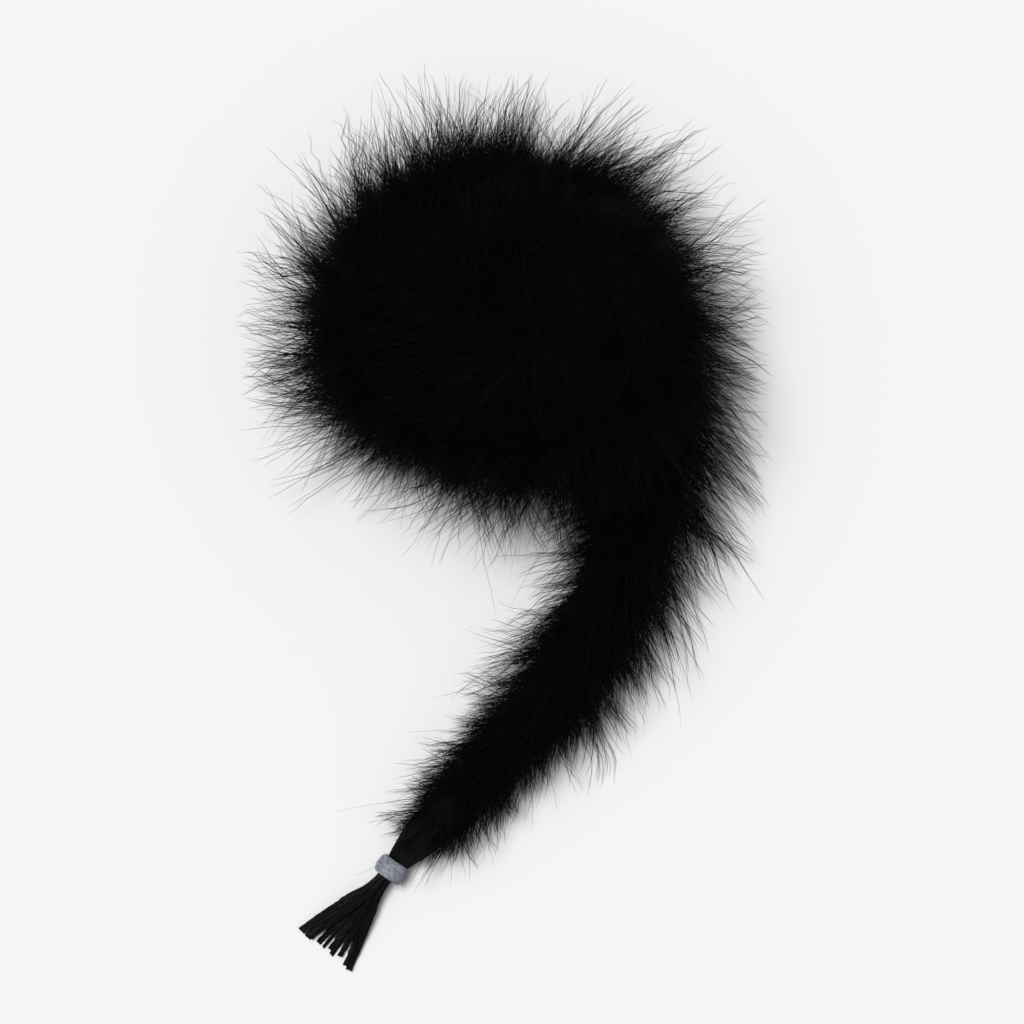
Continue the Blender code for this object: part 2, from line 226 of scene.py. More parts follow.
# ---- materials ----
def nodes_of(name):
    mat = bpy.data.materials.new(name)
    mat.use_nodes = True
    return mat, mat.node_tree, mat.node_tree.nodes["Principled BSDF"]


def ramp_node(nt, source, stops):
    colours = nt.nodes.new("ShaderNodeValToRGB").color_ramp
    node = nt.nodes[-1]
    colours.elements[0].position = stops[0][0]
    colours.elements[0].color = (*stops[0][1], 1.0)
    colours.elements[1].position = stops[-1][0]
    colours.elements[1].color = (*stops[-1][1], 1.0)
    for where, colour in stops[1:-1]:
        extra = colours.elements.new(where)
        extra.color = (*colour, 1.0)
    nt.links.new(source, node.inputs["Fac"])
    return node.outputs["Color"]


def noise_node(nt, scale, detail=3.0, stretch=(1.0, 1.0, 1.0)):
    where = nt.nodes.new("ShaderNodeTexCoord")
    mapping = nt.nodes.new("ShaderNodeMapping")
    mapping.inputs["Scale"].default_value = stretch
    noise = nt.nodes.new("ShaderNodeTexNoise")
    noise.inputs["Scale"].default_value = scale
    noise.inputs["Detail"].default_value = detail
    nt.links.new(where.outputs["Object"], mapping.inputs["Vector"])
    nt.links.new(mapping.outputs["Vector"], noise.inputs["Vector"])
    return noise.outputs["Fac"]


def maths(nt, a, b, how="ADD"):
    node = nt.nodes.new("ShaderNodeMath")
    node.operation = how
    nt.links.new(a, node.inputs[0])
    if isinstance(b, float):
        node.inputs[1].default_value = b
    else:
        nt.links.new(b, node.inputs[1])
    return node.outputs[0]


def weighed(nt, a, share_a, b, share_b):
    return maths(nt, maths(nt, a, share_a, "MULTIPLY"), maths(nt, b, share_b, "MULTIPLY"))


def attribute_node(nt, name):
    node = nt.nodes.new("ShaderNodeAttribute")
    node.attribute_name = name
    return node.outputs["Fac"]


def rough_between(nt, shader, source, low, high):
    node = nt.nodes.new("ShaderNodeMapRange")
    node.inputs["To Min"].default_value = low
    node.inputs["To Max"].default_value = high
    nt.links.new(source, node.inputs["Value"])
    nt.links.new(node.outputs["Result"], shader.inputs["Roughness"])


def bump(nt, shader, source, strength, distance):
    node = nt.nodes.new("ShaderNodeBump")
    node.inputs["Strength"].default_value = strength
    node.inputs["Distance"].default_value = distance
    nt.links.new(source, node.inputs["Height"])
    nt.links.new(node.outputs["Normal"], shader.inputs["Normal"])


def half_way(dark, light):
    return tuple(0.5 * (a + b) for a, b in zip(dark, light))


def fibre_material(name, dark, middle, light, scale, rough, specular, shares=(0.75, 0.45), half=0.65):
    """Fibres: each has its own tone, its tip is a little paler, and fine noise breaks it up."""
    mat, nt, shader = nodes_of(name)
    fine_noise = noise_node(nt, scale, 2.0)
    value = weighed(nt, attribute_node(nt, "tone"), shares[0], fine_noise, shares[1])
    colour = ramp_node(nt, value, [(0.15, dark), (half, middle or half_way(dark, light)), (1.0, light)])
    nt.links.new(colour, shader.inputs["Base Color"])
    rough_between(nt, shader, fine_noise, *rough)
    shader.inputs["Specular IOR Level"].default_value = specular
    return mat


def cloth_material(name, dark, light, scale, roughness, specular, strength, distance, stretch=(1, 1, 1)):
    """Cloth-like surface: coarse and fine noise in its colour, roughness and bumps."""
    mat, nt, shader = nodes_of(name)
    coarse = noise_node(nt, scale * 0.22, 4.0, stretch)
    fine_noise = noise_node(nt, scale, 3.0, stretch)
    both = weighed(nt, coarse, 0.55, fine_noise, 0.45)
    colour = ramp_node(nt, both, [(0.30, dark), (0.5, half_way(dark, light)), (0.70, light)])
    nt.links.new(colour, shader.inputs["Base Color"])
    rough_between(nt, shader, coarse, roughness - 0.1, roughness + 0.1)
    bump(nt, shader, fine_noise, strength, distance)
    shader.inputs["Specular IOR Level"].default_value = specular
    return mat


DOWN = fibre_material("black_down", (0.0004, 0.0004, 0.0004), None, (0.0066, 0.0066, 0.0068),
                      420.0, (0.48, 0.75), 0.05)
NECK = fibre_material("quill_fibres", (0.0016, 0.0016, 0.0016), None, (0.0118, 0.0118, 0.0120),
                      900.0, (0.38, 0.65), 0.10)
UNDERCOAT = cloth_material("undercoat", (0.0006, 0.0006, 0.0007), (0.0016, 0.0016, 0.0017),
                           900.0, 0.88, 0.02, 0.8, 0.002)
CORD = cloth_material("core_cord", (0.004, 0.004, 0.0042), (0.016, 0.016, 0.017),
                      1400.0, 0.8, 0.2, 0.6, 0.0006)
NECK_SKIN = cloth_material("neck_skin", (0.0009, 0.0009, 0.0009), (0.0044, 0.0044, 0.0045),
                           1500.0, 0.7, 0.06, 0.6, 0.0008)
THREAD = cloth_material("thread", (0.004, 0.004, 0.0042), (0.020, 0.020, 0.021),
                        2200.0, 0.6, 0.3, 0.5, 0.0003)
RIBBON = cloth_material("ribbon", (0.0004, 0.0004, 0.0004), (0.0026, 0.0026, 0.0027),
                        1300.0, 0.40, 0.09, 0.6, 0.0005, stretch=(1.0, 1.0, 0.4))
YARN_BODY = cloth_material("wound_yarn", (0.175, 0.188, 0.230), (0.360, 0.380, 0.445),
                           900.0, 0.85, 0.10, 0.7, 0.0006)
YARN = fibre_material("yarn_fibres", (0.096, 0.104, 0.136), (0.288, 0.307, 0.369), (0.77, 0.795, 0.87),
                      700.0, (0.7, 0.95), 0.12, shares=(0.8, 0.35), half=0.5)


# ---- meshes ----
def mesh_from(name, verts, faces, mat):
    """verts is (n, 3); faces is a list of integer arrays, each (m, 3) or (m, 4)."""
    mesh = bpy.data.meshes.new(name)
    mesh.vertices.add(len(verts))
    mesh.vertices.foreach_set("co", np.ascontiguousarray(verts, np.float32).ravel())
    loops = np.concatenate([f.ravel() for f in faces]).astype(np.int32)
    sizes = np.concatenate([np.full(len(f), f.shape[1], np.int32) for f in faces])
    starts = np.concatenate([[0], np.cumsum(sizes)[:-1]]).astype(np.int32)
    mesh.loops.add(len(loops))
    mesh.loops.foreach_set("vertex_index", loops)
    mesh.polygons.add(len(sizes))
    mesh.polygons.foreach_set("loop_start", starts)
    mesh.polygons.foreach_set("use_smooth", np.full(len(sizes), True))
    mesh.update(calc_edges=True)
    mesh.validate()
    obj = bpy.data.objects.new(name, mesh)
    bpy.context.scene.collection.objects.link(obj)
    mesh.materials.append(mat)
    return obj


def sleeve(name, rings, mat):
    """A closed tube through rings (n, sides, 3), with a fan at each end."""
    count, sides, _ = rings.shape
    i = np.arange(count - 1)[:, None]
    j = np.arange(sides)[None, :]
    m = (j + 1) % sides
    quads = np.stack([i * sides + j, i * sides + m, (i + 1) * sides + m, (i + 1) * sides + j], -1)
    quads = quads.reshape(-1, 4)[:, ::-1]
    verts = np.concatenate([rings.reshape(-1, 3), [rings[0].mean(0), rings[-1].mean(0)]])
    a, b = len(verts) - 2, len(verts) - 1
    near = np.arange(sides)
    far = near + (count - 1) * sides
    tris = np.concatenate([
        np.stack([np.full(sides, a), near, np.roll(near, -1)], -1),
        np.stack([np.full(sides, b), np.roll(far, -1), far], -1),
    ])
    return mesh_from(name, verts, [quads, tris], mat)


def tube_arrays(paths, radii):
    """Closed three-sided tapering tubes: paths (n, k, 3), radii (n, k - 1); the last point is the tip."""
    n, k, _ = paths.shape
    tangent = np.empty_like(paths)
    tangent[:, 1:-1] = paths[:, 2:] - paths[:, :-2]
    tangent[:, 0] = paths[:, 1] - paths[:, 0]
    tangent[:, -1] = paths[:, -1] - paths[:, -2]
    tangent = unit(tangent)
    ref = unit(rng.normal(size=(n, 1, 3)))
    a = unit(ref - (ref * tangent).sum(-1, keepdims=True) * tangent)
    b = np.cross(tangent, a)
    rings = []
    for angle in (2.0 * math.pi * j / 3.0 for j in range(3)):
        out = a[:, :-1] * math.cos(angle) + b[:, :-1] * math.sin(angle)
        rings.append(paths[:, :-1] + out * radii[..., None])
    body = np.stack(rings, axis=2).reshape(n, (k - 1) * 3, 3)
    verts = np.concatenate([body, paths[:, -1:]], axis=1)
    per = verts.shape[1]
    turn = ((0, 1), (1, 2), (2, 0))
    last = (k - 2) * 3
    quads = [(i + j, i + m, i + 3 + m, i + 3 + j) for i in range(0, last, 3) for j, m in turn]
    tris = [(last + j, last + m, per - 1) for j, m in turn] + [(0, 2, 1)]
    offset = (np.arange(n) * per)[:, None, None]
    quads = (np.array(quads)[None] + offset).reshape(-1, 4)
    tris = (np.array(tris)[None] + offset).reshape(-1, 3)
    return verts.reshape(-1, 3), quads, tris, per


def fibre_object(name, groups, mat):
    """One object from several (paths, radii, tone) groups, which may differ in points per fibre."""
    all_verts, all_quads, all_tris, tones, base = [], [], [], [], 0
    for paths, radii, tone in groups:
        if not len(paths):
            continue
        verts, quads, tris, per = tube_arrays(paths, radii)
        k = paths.shape[1]
        u = np.concatenate([np.repeat(np.linspace(0, 1, k)[:-1], 3), [1.0]])
        tones.append((tone[:, None] * (0.55 + 0.45 * u[None])).ravel())
        all_verts.append(verts)
        all_quads.append(quads + base)
        all_tris.append(tris + base)
        base += len(verts)
    obj = mesh_from(name, np.concatenate(all_verts),
                    [np.concatenate(all_quads), np.concatenate(all_tris)], mat)
    layer = obj.data.attributes.new("tone", "FLOAT", "POINT")
    layer.data.foreach_set("value", np.concatenate(tones).astype(np.float32))
    return obj


# ---- the core cord, in three runs: a three-ply twisted cord inside the down ----
def core_cord(name, low, high):
    count = int((high - low) / CORE_STEP) + 1
    s = np.linspace(low, high, count)
    p, _, side, up = frames(s)
    ang = round_angles(CORE_SIDES)
    turn = s[:, None] * (2 * math.pi / CORE_TWIST)
    lobes = np.abs(np.cos(1.5 * (ang[None] - turn)))
    r = CORE_RADIUS * (0.80 + 0.20 * lobes)
    obj = sleeve(name, rings_round(p, side, up, ang, r), CORD)
    line = p[:: max(1, count // PATH_POINTS)]
    if not np.allclose(line[-1], p[-1]):
        line = np.concatenate([line, p[-1:]])
    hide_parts(name.replace("_twisted", ""))
    return obj, line, high - low


cord_coil, line_coil, length_coil = core_cord("core_cord_coil_twisted", S_BASE + CORE_GAP, S_END - 0.002)
cord_base, line_base, length_base = core_cord("core_cord_tail_base_twisted", S_TIP + CORE_GAP,
                                              S_BASE - CORE_GAP)
cord_tip, line_tip, length_tip = core_cord("core_cord_tail_tip_twisted", 0.0150, S_TIP - CORE_GAP)

# ---- down fibres ----
HAIR = 0.00018
LONG_HAIR = 0.00015
LYING_HAIR = 0.00014
FINE_HAIR = 0.00009
HAIR_TAPER = 0.66
LONGEST_LOCK = 0.0680
LONGEST_HAIR = 0.072
MARGIN = 0.0010
ALLOW = 0.03 * (np.array(cad_high) - np.array(cad_low)) + 0.010 - MARGIN
LIMIT_LOW = np.array(cad_low) - ALLOW
LIMIT_HIGH = np.array(cad_high) + ALLOW


def kept_inside(paths):
    """Draws in any fibre that would reach past the room the object has."""
    root = paths[:, :1]
    start = root[:, 0]
    f = np.ones(len(paths))
    for far, limit, sign, axes in ((paths.max(1), LIMIT_HIGH, 1.0, 3), (paths.min(1), LIMIT_LOW, -1.0, 2)):
        for axis in range(axes):
            past = sign * (far[:, axis] - limit[axis]) > 0.0
            span = np.maximum(sign * (far[:, axis] - start[:, axis]), 1e-9)
            room = sign * (limit[axis] - start[:, axis]) / span
            f = np.where(past, np.minimum(f, room), f)
    f = np.where(f < 1.0, f * rng.uniform(0.80, 0.995, len(f)), f)
    return root + (paths - root) * f[:, None, None]


def above_floor(paths, low=0.0004, soft=0.0022):
    """Fibres that would go through the table bend along it instead."""
    z = paths[..., 2]
    lifted = low + soft * np.log1p(np.exp(np.clip((z - low) / soft, -30, 30)))
    ripple = 0.0005 * rng.random(z.shape[0])[:, None]
    out = paths.copy()
    out[..., 2] = np.where(z < 0.012, lifted + ripple, z)
    return out


def hair_radii(thick, number, taper):
    return (thick * rng.uniform(0.6, 1.3, number))[:, None] * taper[None]


def locks(s, phi, length, lean, count, points, skip=0.006, droop=0.14, thick=HAIR,
          splay=0.13, crimp=0.00036, bend=0.38, sweep=0.10, clump=(0.15, 0.88), scatter=0.0028,
          uneven=0.15):
    """Locks of down. s, phi (radians, 0 outward and pi/2 up), length and lean are one value a lock."""
    many = len(s)
    p0, t0, side0, up0 = frames(s)
    outward = np.cos(phi)[:, None] * side0 + np.sin(phi)[:, None] * up0
    d0 = unit(outward - lean[:, None] * t0)
    pick = np.repeat(np.arange(many), count)
    n = len(pick)
    u = np.linspace(0.0, 1.0, points)

    def across(v, d):
        return unit(v - (v * d).sum(-1, keepdims=True) * d)

    # each lock's own line
    b1, b2, b3 = (across(rng.normal(size=(many, 3)), d0) for _ in range(3))
    a1 = bend * rng.normal(0.0, 0.8, many)
    a2 = 0.05 + 0.09 * rng.random(many)
    sway = rng.normal(0.0, 0.00085, many)
    sway_long = rng.uniform(0.011, 0.018, many)
    phase = rng.random(many) * 2 * math.pi
    swing = rng.uniform(2.2, 5.0, many)
    shape = (
        b1[:, None] * (a1[:, None] * u ** 2)[..., None]
        + b2[:, None] * (a2[:, None] * (np.sin(swing[:, None] * u + phase[:, None])
                                        - np.sin(phase)[:, None]) * u)[..., None]
        - t0[:, None] * (sweep * u ** 2)[None, :, None]
    )
    own_length = (length[pick] * np.clip(1.0 + rng.normal(size=n) * uneven, 0.5, 1.45) - skip)
    d = d0[pick]
    path = d[:, None] * u[None, :, None] + shape[pick]
    path = path * own_length[:, None, None]

    # each fibre's place in its lock, drawn together towards the lock's tip
    ds = rng.normal(size=n) * scatter
    tight = rng.uniform(clump[0], clump[1], many)[pick][:, None]
    hold = 1.0 - tight * smooth(u[None] / 0.75)
    spread1 = rng.normal(size=n) * splay
    spread2 = rng.normal(size=n) * splay
    e1 = across(t0[pick], d)
    e2 = np.cross(d, e1)
    fan = (e1 * spread1[:, None] + e2 * spread2[:, None])[:, None]
    root = p0[pick] + d * skip
    path = path + (t0[pick] * ds[:, None])[:, None] * hold[..., None]
    path = path + fan * (own_length[:, None] * u[None] * hold + 0.010 * hold)[..., None]

    # its own flick and crimp
    own = across(rng.normal(size=(n, 3)), d)
    path = path + own[:, None] * (0.11 * own_length[:, None] * u[None] ** 2.2)[..., None]
    wave_dir = unit(b3[pick] + 0.6 * across(rng.normal(size=(n, 3)), d))
    waves = own_length / rng.uniform(0.0050, 0.0085, n)
    wave_phase = phase[pick] + rng.normal(size=n) * 0.9
    size = crimp * rng.uniform(0.3, 1.6, n)
    wave = size[:, None] * np.sin(2 * math.pi * waves[:, None] * u[None] + wave_phase[:, None])
    path = path + wave_dir[:, None] * (wave * np.minimum(1.0, 3.0 * u)[None])[..., None]
    turns = own_length[:, None] * u[None] / sway_long[pick][:, None]
    slow = np.sin(2 * math.pi * turns + phase[pick][:, None])
    path = path + b3[pick][:, None] * (sway[pick][:, None] * slow * u[None])[..., None]
    kinks = rng.normal(size=(n, points, 3)) * 0.00011 * np.minimum(1.0, 4.0 * u)[None, :, None]
    path = root[:, None] + path + kinks
    sag = droop * own_length * rng.uniform(0.5, 1.5, n)
    path[..., 2] -= sag[:, None] * (u ** 2)[None]

    radii = hair_radii(thick, n, 1.0 - HAIR_TAPER * u[:-1] ** 2.0)
    tone = np.clip(rng.random(many)[pick] ** 1.5 * 0.6 + rng.random(n) * 0.4, 0, 1)
    return kept_inside(above_floor(path)), radii, tone


def grow(groups, s, phi, length, lean, count, points, **how):
    groups.append((np.repeat(s, count), locks(s, phi, length, lean, count, points, **how)))


def pieces(names, groups, edges):
    """One piece of down for each stretch of the route between two edges."""
    out = []
    for name, low, high in zip(names, edges[:-1], edges[1:]):
        found = []
        for roots, group in groups:
            here = (roots >= low) & (roots < high)
            found.append(tuple(part[here] for part in group))
        out.append(fibre_object(name, found, DOWN))
    return out


def tail_reach(s):
    """How far the tail's fluff reaches from the core: it widens from the neck towards the coil."""
    return 0.0105 + 0.0090 * ramp(s, 0.018, 0.060) + 0.0075 * ramp(s, 0.045, 0.150)


def amount(number):
    return int(number * (1.0))


BEND_UP = S_BASE + 0.040
bunch_edges = S_BASE + (S_END - S_BASE) * np.arange(COIL_BUNCHES + 1) / COIL_BUNCHES
coil_edges = np.concatenate([[BEND_UP], bunch_edges[2:-1], [S_END + 1e-6]])


def turn_facts(s):
    """For each place on the coil: its share of the outer turn's size, its height, and its bearing."""
    p = place(s)
    x = (p[:, 0] - CENTRE_SHIFT.x - COIL_CENTRE[0]) / OUTER_TURN[0]
    y = (p[:, 1] - CENTRE_SHIFT.y - COIL_CENTRE[1]) / OUTER_TURN[1]
    return np.hypot(x, y), p[:, 2], np.arctan2(y, x)


def random_waves(theta, seed, waves, fade):
    local = np.random.default_rng(seed)
    out = np.zeros_like(theta)
    for k in waves:
        out += local.normal() / fade(k) * np.sin(k * theta + local.random() * 2 * math.pi)
    return out


def patchy(theta, seed):
    """A smooth random field round the coil, about -1 to 1."""
    return random_waves(theta, seed, range(1, 7), lambda k: 0.6 + 0.4 * k) / 1.3


def tufts(theta, seed):
    """A quicker random field round the coil, for tufts a few degrees wide."""
    return random_waves(theta, seed, range(9, 28), lambda k: 1.0) / 3.1


def bulge(theta, where, width):
    gap = (theta - RAD(where) + math.pi) % (2 * math.pi) - math.pi
    return np.exp(-(gap / RAD(width)) ** 2)


def chosen(number, chance_of):
    """Random places on the coil, kept by a chance that depends on where they are."""
    s = rng.uniform(BEND_UP, S_END, amount(number))
    ring_, z, theta = turn_facts(s)
    keep = rng.random(len(s)) < chance_of(ring_, z, theta)
    return s[keep], ring_[keep], z[keep], theta[keep]


def at_rim(r, z, th):
    return ramp(r, 0.70, 0.92)


def rim_lean(theta):
    return 0.24 + 0.16 * np.cos(theta - RAD(150)) + 0.12 * patchy(theta, 3) + 0.06 * tufts(theta, 8)


coil_groups = []


def down_length(theta, n):
    """Reach of the down at the rim: most of it about the same, some far longer, more so on the right."""
    middle = 0.0350 + 0.0018 * patchy(theta, 5) + 0.0012 * tufts(theta, 6)
    middle += 0.0034 * bulge(theta, 184, 24) - 0.0052 * bulge(theta, 252, 18)
    middle += 0.0042 * bulge(theta, 122, 16) - 0.0096 * bulge(theta, 24, 34)
    middle += 0.0080 * bulge(theta, 71, 10) - 0.0050 * bulge(theta, 285, 16)
    middle -= 0.0078 * bulge(theta, 49, 9) + 0.0036 * bulge(theta, -14, 16)
    wide = 0.0136 + 0.0130 * bulge(theta, -4, 24) + 0.0030 * bulge(theta, 62, 12)
    return np.clip(middle + wide * rng.normal(size=n), 0.0150, LONGEST_LOCK)


# the rim: locks that stand out all round the coil
s, ring_, z, theta = chosen(2050, at_rim)
n = len(s)
phi = np.where(z > 0.055, rng.normal(RAD(10), RAD(26), n), rng.normal(RAD(2), RAD(26), n))
lean = rim_lean(theta) + rng.normal(0, 0.27, n)
grow(coil_groups, s, phi, down_length(theta, n), lean, 7, 13, uneven=0.13, clump=(0.28, 0.94))


def stand_out(number, where, phi, length, lean, count, points, **how):
    """More down at the rim. phi is its middle and spread in degrees, lean its spread."""
    s, _, z, theta = chosen(number, where)
    n = len(s)
    angle = phi(z, n) if callable(phi) else rng.normal(RAD(phi[0]), RAD(phi[1]), n)
    reach = length(theta, n)
    grow(coil_groups, s, angle, reach, rim_lean(theta) + rng.normal(0, lean, n), count, points, **how)


# shorter, denser down close in at the rim
stand_out(2900, at_rim, (6, 36), lambda th, n: (
    rng.normal(0.0218, 0.0056, n) * (1.0 - 0.58 * bulge(th, 0, 44)) + 0.0007 * tufts(th, 6)
), 0.32, 7, 9, splay=0.24)

# fine down under it, which closes the gaps between the locks where they leave the solid part
stand_out(2300, lambda r, z, th: at_rim(r, z, th) * (z < 0.055), (-8, 16), lambda th, n: (
    rng.normal(0.0290, 0.0058, n) * (1.0 - 0.50 * bulge(th, 0, 44))
), 0.40, 8, 7, splay=0.34, thick=FINE_HAIR)


def on_top(r, z, th):
    """Where the down is seen from above: the top layer, and the rim where it has yet to climb."""
    second = (r > 0.78) * (z > 0.034) * (th > RAD(-8)) * (th < RAD(100))
    return np.maximum(ramp(z, 0.046, 0.058), second)


SWIRL = (CENTRE_SHIFT.x + 0.0090, CENTRE_SHIFT.y + 0.0995)
COIL_MIDDLE = np.array(COIL_CENTRE) + np.array(CENTRE_SHIFT)[:2]


def lay(groups, s, off, heading, rise, run, count, points, over=None, loose=0.0040):
    """Locks that come up out of the down and lie over along a heading seen from above.

    over is how far each falls where it hangs over the coil's edge."""
    n = len(s)
    p, t, side, _ = frames(s)
    flow = np.stack([np.cos(heading), np.sin(heading), np.zeros(n)], 1)
    cross = np.cross(flow, [0.0, 0.0, 1.0])
    pick = np.repeat(np.arange(n), count)
    m = len(pick)
    u = np.linspace(0.0, 1.0, points)
    high = (rise * rng.uniform(0.74, 1.06, n))[pick] * rng.normal(1.0, 0.05, m)
    reach = run[pick] * rng.normal(1.0, 0.12, m)
    middle = (p + side * off[:, None])[pick]
    root = middle + t[pick] * (rng.normal(size=m) * loose)[:, None]
    root = root + side[pick] * (rng.normal(size=m) * loose)[:, None]
    tight = rng.uniform(0.3, 0.92, n)[pick][:, None]
    hold = 1.0 - tight * smooth(u[None] / 0.75)
    fan = (rng.normal(size=m) * 0.16)[:, None] * u[None] * hold
    gather = root[:, :2] - middle[:, :2]
    curve = (rng.normal(size=n) * 0.24)[pick][:, None] * u[None] ** 2
    curve = curve + 0.07 * rng.normal(size=(m, 1)) * u[None] ** 2.2
    beat = reach[:, None] / rng.uniform(0.0055, 0.0090, (m, 1))
    wave = 0.00038 * rng.uniform(0.3, 1.5, (m, 1)) * np.sin(2 * math.pi * u[None] * beat
                                                          + 6.3 * rng.random((m, 1)))
    climb = np.sin(np.minimum(u * 1.4, 1.0) * math.pi / 2)[None] - 0.20 * ramp(u, 0.55, 1.0)[None]
    path = root[:, None] + flow[pick][:, None] * (reach[:, None] * (u ** 1.2)[None])[..., None]
    path = path + cross[pick][:, None] * (reach[:, None] * (fan + curve) + wave)[..., None]
    path[..., :2] -= gather[:, None] * (1.0 - hold)[..., None]
    path[..., 2] += high[:, None] * climb
    if over is not None:
        beyond = np.hypot((path[..., 0] - COIL_MIDDLE[0]) / OUTER_TURN[0],
                          (path[..., 1] - COIL_MIDDLE[1]) / OUTER_TURN[1])
        path[..., 2] -= over[pick][:, None] * ramp(beyond, 0.98, 1.45)
    path = path + rng.normal(size=(m, points, 3)) * 0.00010 * np.minimum(1.0, 4.0 * u)[None, :, None]
    radii = hair_radii(LYING_HAIR, m, 1.0 - HAIR_TAPER * u[:-1] ** 2.0)
    tone = np.clip(rng.random(n)[pick] ** 2.2 * 0.85 + rng.random(m) * 0.25, 0, 1)
    groups.append((np.repeat(s, count), (kept_inside(above_floor(path)), radii, tone)))


def crown(number, count, points, rise, run):
    """The down on top flows out from a swirl, and at the lower right down into the tail."""
    s, ring_, _, _ = chosen(number, on_top)
    n = len(s)
    p, _, side, _ = frames(s)
    off = rng.normal(0, 0.006, n) - 0.006 * (ring_ < 0.5)
    root = p + side * off[:, None]
    away = root[:, :2] - np.array(SWIRL) + rng.normal(0, 0.003, (n, 2))
    bearing = np.arctan2(away[:, 1], away[:, 0])
    far = np.hypot(away[:, 0], away[:, 1])
    heading = bearing - RAD(26) + RAD(18) * patchy(bearing, 11) + rng.normal(0, RAD(20), n)
    tailward = np.exp(-((bearing - RAD(-38)) / RAD(34)) ** 2) * ramp(far, 0.012, 0.050)
    heading = heading + (RAD(-97) - heading) * 0.85 * tailward
    cut = 0.40 * ramp(ring_, 0.60, 0.95) * (1.0 - tailward)
    reach = run * rng.uniform(0.6, 1.3, n) * (1.0 + 0.25 * tailward) * (1.0 - cut)
    over = 0.018 * tailward + 0.030 * (1.0 - tailward) * rng.uniform(0.6, 1.4, n)
    lay(coil_groups, s, off, heading, rise, reach, count, points, over=over)


crown(2600, 11, 10, 0.0210, 0.0390)
crown(3000, 8, 8, 0.0175, 0.0180)

# long down that runs from the top of the coil over its edge and on down the tail
s, ring_, z, theta = chosen(2400, lambda r, z, th: (z > 0.050) * (r > 0.72)
                            * (th > RAD(-80)) * (th < RAD(2)))
n = len(s)
heading = RAD(-99) + rng.normal(0, RAD(12), n) + RAD(16) * (theta + RAD(40)) / RAD(32)
lay(coil_groups, s, rng.normal(0.002, 0.005, n), heading, rng.uniform(0.015, 0.0225, n),
    rng.uniform(0.036, 0.062, n), 9, 10, over=rng.uniform(0.022, 0.040, n))

# down on the right of the top, which flows out over the edge and round towards the tail
s, ring_, z, theta = chosen(5200, lambda r, z, th: (z > 0.050) * (th > RAD(-50))
                            * (th < RAD(75)))
n = len(s)
heading = RAD(-52) + 0.30 * theta + rng.normal(0, RAD(15), n)
lay(coil_groups, s, rng.normal(0.0, 0.006, n), heading, rng.uniform(0.0185, 0.0225, n),
    rng.uniform(0.024, 0.042, n), 9, 9, over=rng.uniform(0.012, 0.030, n))

# down that closes the middle, from the innermost turn across to the other side
s = rng.uniform(S_END - 0.085, S_END, amount(420))
n = len(s)
off = -np.abs(rng.normal(0.008, 0.006, n))
heading = rng.uniform(0, 2 * math.pi, n)
lay(coil_groups, s, off, heading, 0.0185, rng.uniform(0.014, 0.028, n), 9, 9)


def up_or_down(z, n):
    upward = np.where(z > 0.050, -1.0, np.where(z < 0.030, 1.0, rng.choice([-1.0, 1.0], n)))
    return upward * rng.uniform(RAD(25), RAD(80), n)


# down that fills the height between one layer and the next at the rim
stand_out(2300, at_rim, up_or_down, lambda th, n: rng.normal(0.0265, 0.0035, n) * (
    1.0 - 0.30 * bulge(th, 272, 28) + 0.14 * bulge(th, 172, 30) - 0.25 * bulge(th, -8, 26)
), 0.30, 8, 9, splay=0.26, droop=0.06)

# what shows of the lower layers between the turns
s = chosen(1300, lambda r, z, th: (1 - 0.6 * ramp(r, 0.6, 0.9)) * (z < 0.05))[0]
n = len(s)
phi = rng.normal(RAD(90), RAD(60), n)
length = rng.normal(0.020, 0.003, n)
grow(coil_groups, s, phi, length, rng.normal(0.3, 0.3, n), 8, 6)

# single long hairs that wander out of the fluff
stand_out(760, at_rim, (6, 22), lambda th, n: np.minimum(
    0.047 + rng.exponential(0.0090, n) + 0.004 * np.cos(th - RAD(-10)), LONGEST_HAIR
), 0.36, 1, 19, thick=LONG_HAIR, bend=0.50, droop=0.06, uneven=0.0)

down_coil = pieces([f"down_coil_{g:02d}" for g in range(2, COIL_BUNCHES + 1)], coil_groups, coil_edges)

# ---- the tail ----
SPLIT_BASE = S_BASE - 0.050
SPLIT_TIP = S_TIP - 0.042
tail_groups = []
TAIL_START = 0.0225


def thins(s, start, end):
    return 1.0 - ramp(s, start, end)


def tail_locks(number, low, count, points, stretch, slim=0.30, open_end=1.0, **how):
    """Locks that stand out from the tail and sweep towards its tip, shorter on the right (slim)."""
    number = amount(number)
    s = rng.uniform(low, BEND_UP, number)
    phi = rng.uniform(RAD(-30), RAD(210), number)
    left = np.cos(phi) < 0
    s = np.where(~left & (s < 0.034), s + 0.012, s)
    near_coil = ramp(s, S_BASE - 0.085, BEND_UP)
    right_gain = np.where(left, -0.0030 * near_coil, 0.0070 * near_coil)
    slim_left = 0.03 + 0.14 * ramp(s, 0.028, 0.050) * thins(s, 0.125, 0.170)
    slim_right = slim * (open_end + (1.0 - open_end) * ramp(s, 0.045, 0.085)) * thins(s, 0.120, 0.225)
    thin = np.where(left, slim_left, slim_right)
    length = ((1.18 * tail_reach(s) + 0.0020) * (1.0 - thin) + right_gain) * stretch(number)
    length = length * np.where(left, 1.0, 0.72 + 0.32 * ramp(s, 0.034, 0.052))
    lean = np.where(left, 0.62, 0.66) * (1.0 - 0.50 * near_coil)
    lean = lean + 0.55 * (1.0 - ramp(s, 0.020, 0.050)) + rng.normal(0, 0.22, number)
    lean = lean + 0.7 * np.maximum(np.sin(phi), 0.0) ** 2
    grow(tail_groups, s, phi, length, lean, count, points, skip=0.004, sweep=0.32, **how)


